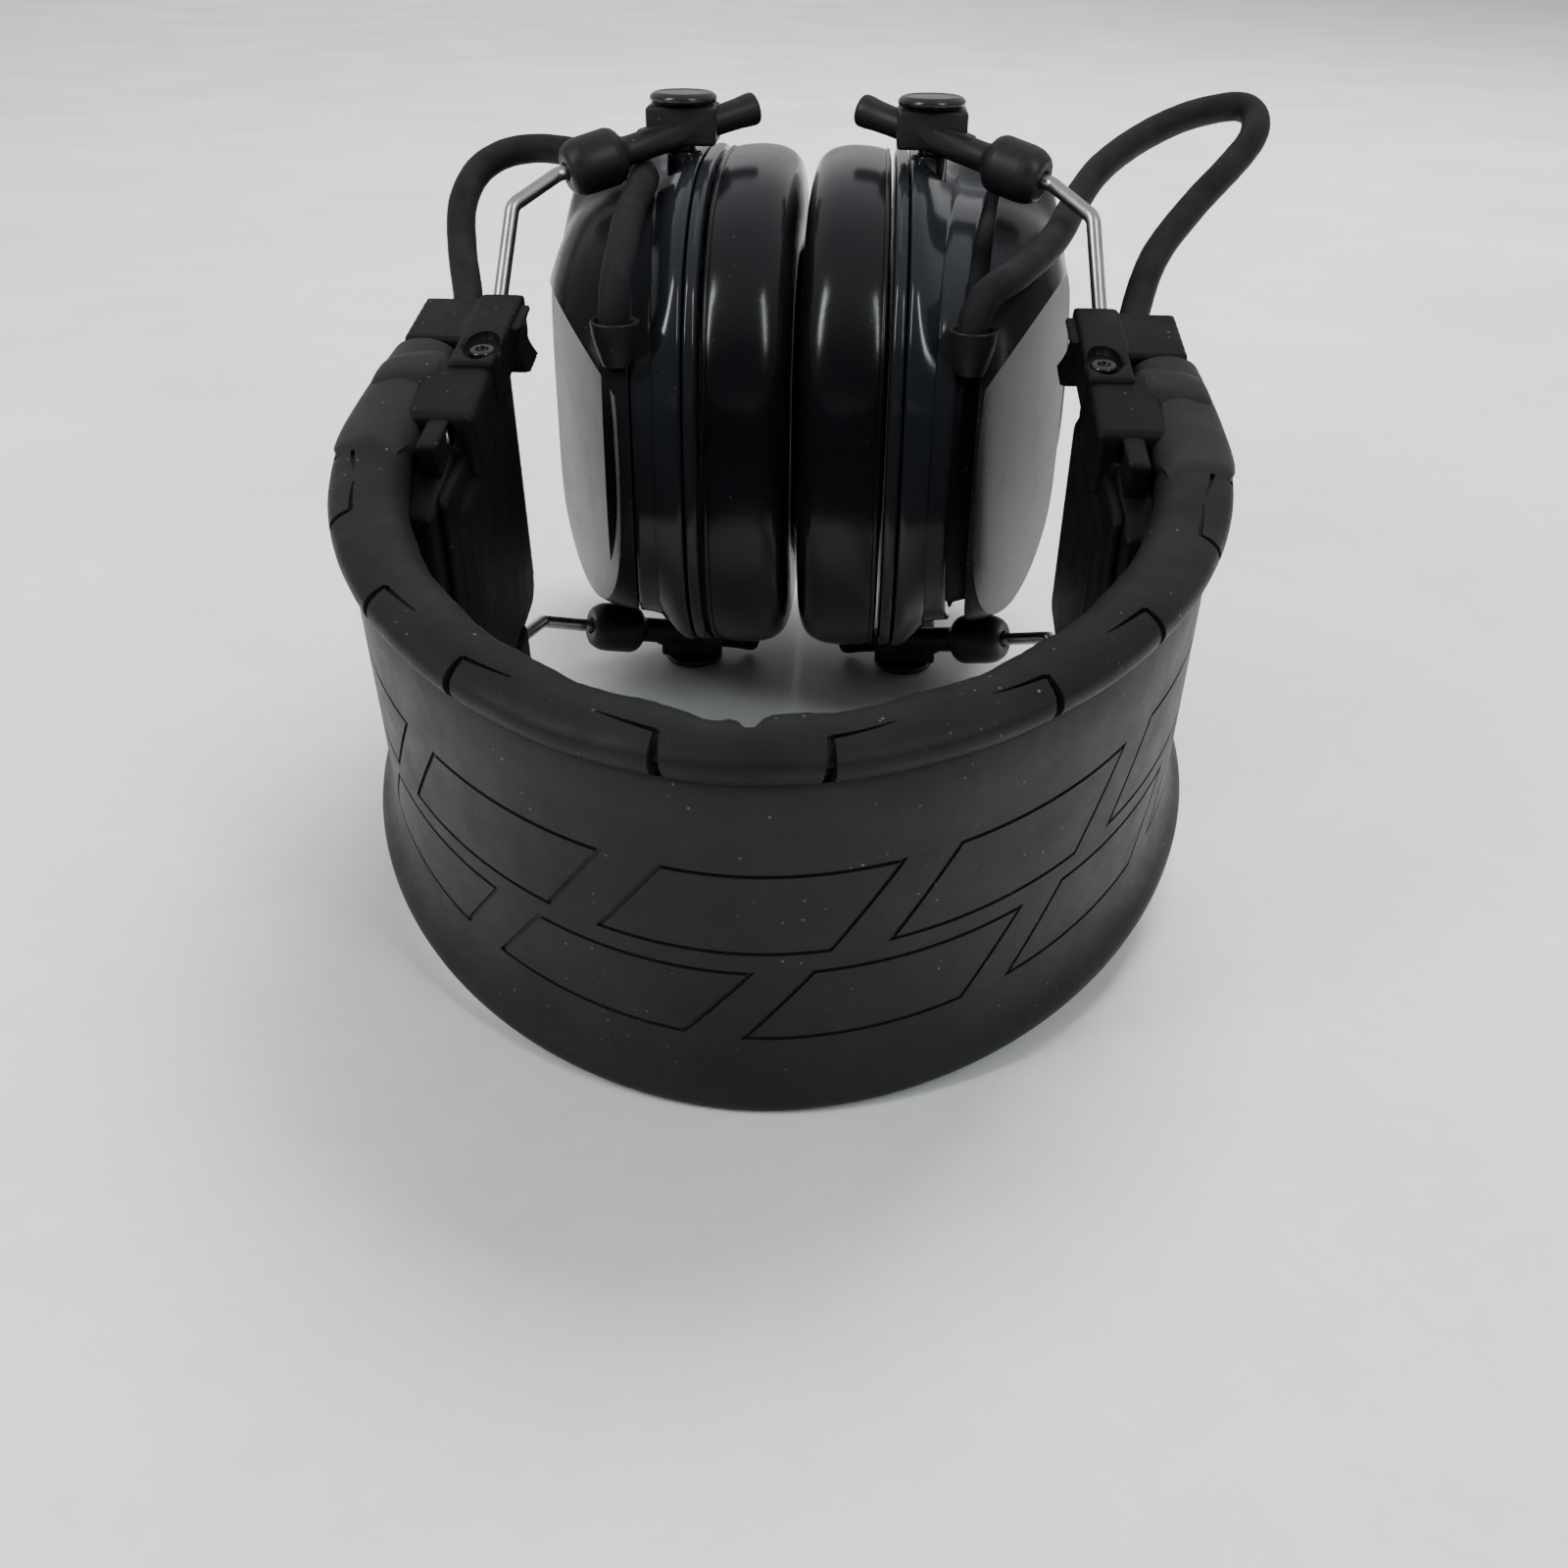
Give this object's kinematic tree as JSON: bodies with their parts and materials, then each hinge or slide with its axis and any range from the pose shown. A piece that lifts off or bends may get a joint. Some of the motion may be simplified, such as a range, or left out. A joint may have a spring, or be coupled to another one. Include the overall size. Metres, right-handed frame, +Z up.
{
  "type": "radio headphones",
  "caption": "Over-ear radio headphones: sprung rubber headband, sliding wire forks, pivoting oval ear cups with soft cushions, push buttons and a battery hatch.",
  "frame": {"origin": "middle of the footprint on the table, cords left out, at the level of the lower pivot caps", "axes": "+X to the right cup, +Y from the crown of the headband to the cups' far ends, +Z up; the headset lies on its side, cups upright on their lower pivot caps"},
  "size_m": [0.1525, 0.209, 0.1104],
  "materials": {
    "rubber": "matt moulded rubber",
    "liner_foam": "satin skinned foam rubber",
    "shell_plastic": "polished black",
    "matt_plastic": "fine textured black",
    "cushion_vinyl": "smooth black leatherette",
    "steel_wire": "satin drawn wire",
    "spring_steel": "satin",
    "cord_jacket": "matt black",
    "grey_foam": "open cell foam with cloth face",
    "circuit_green": "green solder mask",
    "battery_label": "plain cell jacket",
    "ferrite": "sintered",
    "trim_grey": "dark grey, smooth",
    "button_rubber": "matt"
  },
  "bodies": {
    "headband": {"bracket_plate_left": "matt_plastic", "bracket_plate_right": "matt_plastic", "bracket_screw_lower_left": "spring_steel", "bracket_screw_lower_right": "spring_steel", "bracket_screw_upper_left": "spring_steel", "bracket_screw_upper_right": "spring_steel", "cord_outer_left": "cord_jacket", "cord_outer_right": "cord_jacket", "end_bracket_left": "matt_plastic", "end_bracket_right": "matt_plastic", "headband_cover": "rubber", "headband_lead": "cord_jacket", "headband_pad": "liner_foam", "headband_spring": "spring_steel"},
    "fork_left": {"wire_fork_left": "steel_wire", "pivot_bar_upper_left": "matt_plastic", "pivot_bar_lower_left": "matt_plastic"},
    "cup_left": {"cup_shell_left": "shell_plastic", "outer_cover_left": "shell_plastic", "seal_ring_left": "shell_plastic", "ear_cushion_left": "cushion_vinyl", "foam_liner_left": "grey_foam", "speaker_left": "matt_plastic", "cord_gland_left": "matt_plastic", "pivot_pin_upper_left": "matt_plastic", "pivot_pin_lower_left": "matt_plastic", "trim_plate_left": "trim_grey", "cord_inner_left": "cord_jacket", "circuit_board": "circuit_green", "ferrite_antenna": "ferrite"},
    "fork_right": {"wire_fork_right": "steel_wire", "pivot_bar_upper_right": "matt_plastic", "pivot_bar_lower_right": "matt_plastic"},
    "cup_right": {"cup_shell_right": "shell_plastic", "outer_cover_right": "shell_plastic", "seal_ring_right": "shell_plastic", "ear_cushion_right": "cushion_vinyl", "foam_liner_right": "grey_foam", "speaker_right": "matt_plastic", "cord_gland_right": "matt_plastic", "pivot_pin_upper_right": "matt_plastic", "pivot_pin_lower_right": "matt_plastic", "trim_plate_right": "trim_grey", "cord_inner_right": "cord_jacket", "audio_socket": "matt_plastic", "battery_cell_1": "battery_label", "battery_cell_2": "battery_label", "battery_contact_near": "spring_steel", "battery_contact_far": "spring_steel"},
    "hatch": {"battery_hatch": "shell_plastic"},
    "volume_down_button": {"volume_down_button": "button_rubber"},
    "power_button": {"power_button": "button_rubber"},
    "volume_up_button": {"volume_up_button": "button_rubber"}
  },
  "joints": [
    {"name": "slide_left", "type": "slide", "parent": "headband", "child": "fork_left", "axis": [0, 0.9854, 0.1702], "range_m": [0, 0.03], "deforming": ["cord_outer_left", "cord_inner_left"]},
    {"name": "pivot_left", "type": "hinge", "parent": "fork_left", "child": "cup_left", "pos_m": [-0.022, 0.04555, 0.0552], "axis": [0, 0, 1], "range_deg": [-2, 12], "deforming": ["ear_cushion_left"]},
    {"name": "slide_right", "type": "slide", "parent": "headband", "child": "fork_right", "axis": [0, 0.9854, 0.1702], "range_m": [0, 0.03], "deforming": ["cord_outer_right", "cord_inner_right"]},
    {"name": "pivot_right", "type": "hinge", "parent": "fork_right", "child": "cup_right", "pos_m": [0.022, 0.04555, 0.0552], "axis": [0, 0, 1], "range_deg": [-12, 0.8], "deforming": ["ear_cushion_right"]},
    {"name": "volume_down_press", "type": "slide", "parent": "cup_left", "child": "volume_down_button", "axis": [0, -1, 0], "range_m": [0, 0.001], "stiffness_N_per_m": 600},
    {"name": "power_press", "type": "slide", "parent": "cup_left", "child": "power_button", "axis": [0, -1, 0], "range_m": [0, 0.001], "stiffness_N_per_m": 600},
    {"name": "volume_up_press", "type": "slide", "parent": "cup_left", "child": "volume_up_button", "axis": [0, -1, 0], "range_m": [0, 0.001], "stiffness_N_per_m": 600},
    {"name": "hatch_hinge", "type": "hinge", "parent": "cup_right", "child": "hatch", "pos_m": [0.0422, 0.10335, 0.0552], "axis": [0, 0, 1], "range_deg": [0, 80]}
  ]
}
